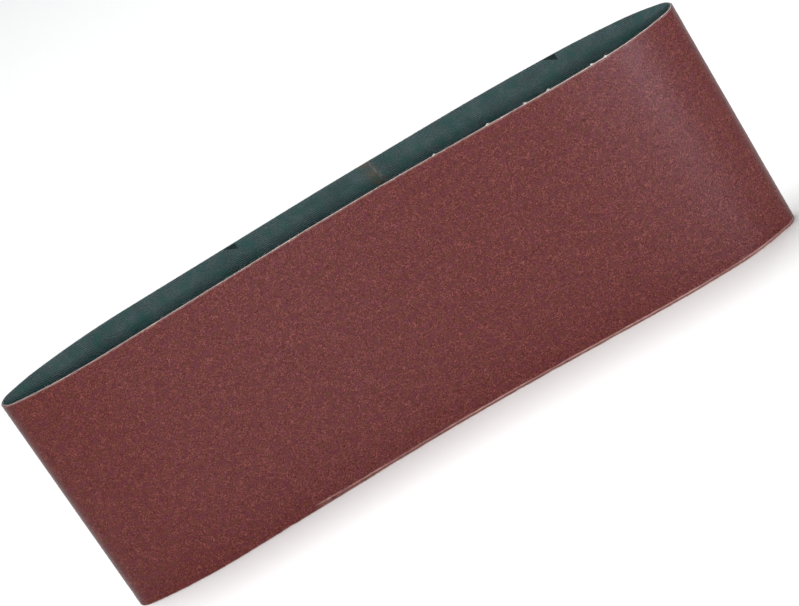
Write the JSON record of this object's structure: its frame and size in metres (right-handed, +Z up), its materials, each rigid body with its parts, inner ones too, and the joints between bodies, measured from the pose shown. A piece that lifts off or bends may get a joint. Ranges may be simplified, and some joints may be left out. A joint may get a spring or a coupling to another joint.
{
  "type": "abrasive sanding belt",
  "caption": "Endless cloth-backed abrasive belt standing on one edge in a flattened loop, grain outside, with a slanted glued lap joint.",
  "frame": {"origin": "middle of the loop's footprint, at the edge the belt stands on", "axes": "+X along the loop to its rounder nose, +Y from the near run to the run with the joint, +Z up the belt's width"},
  "size_m": [0.2958, 0.0392, 0.1],
  "materials": {
    "back_dressing": "matt blue-green dressing over cotton twill, the ribs showing through",
    "cotton_twill": "undyed cotton, pale beige where it is cut",
    "filler": "matt tan filler",
    "resin": "red-brown phenolic resin",
    "grain": "sharp red-brown aluminium oxide grain, about 0.2 mm across",
    "size_resin": "thin red-brown resin over the grain, satin",
    "joint_glue": "brown set glue",
    "ink": "matt dark ink"
  },
  "bodies": {
    "root": {"back_size_coat": "back_dressing", "backing_cloth": "cotton_twill", "front_fill_coat": "filler", "make_coat": "resin", "abrasive_grain": "grain", "size_coat": "size_resin", "splice_glue": "joint_glue", "splice_squeeze_out": "joint_glue", "direction_arrows": "ink"}
  },
  "joints": []
}
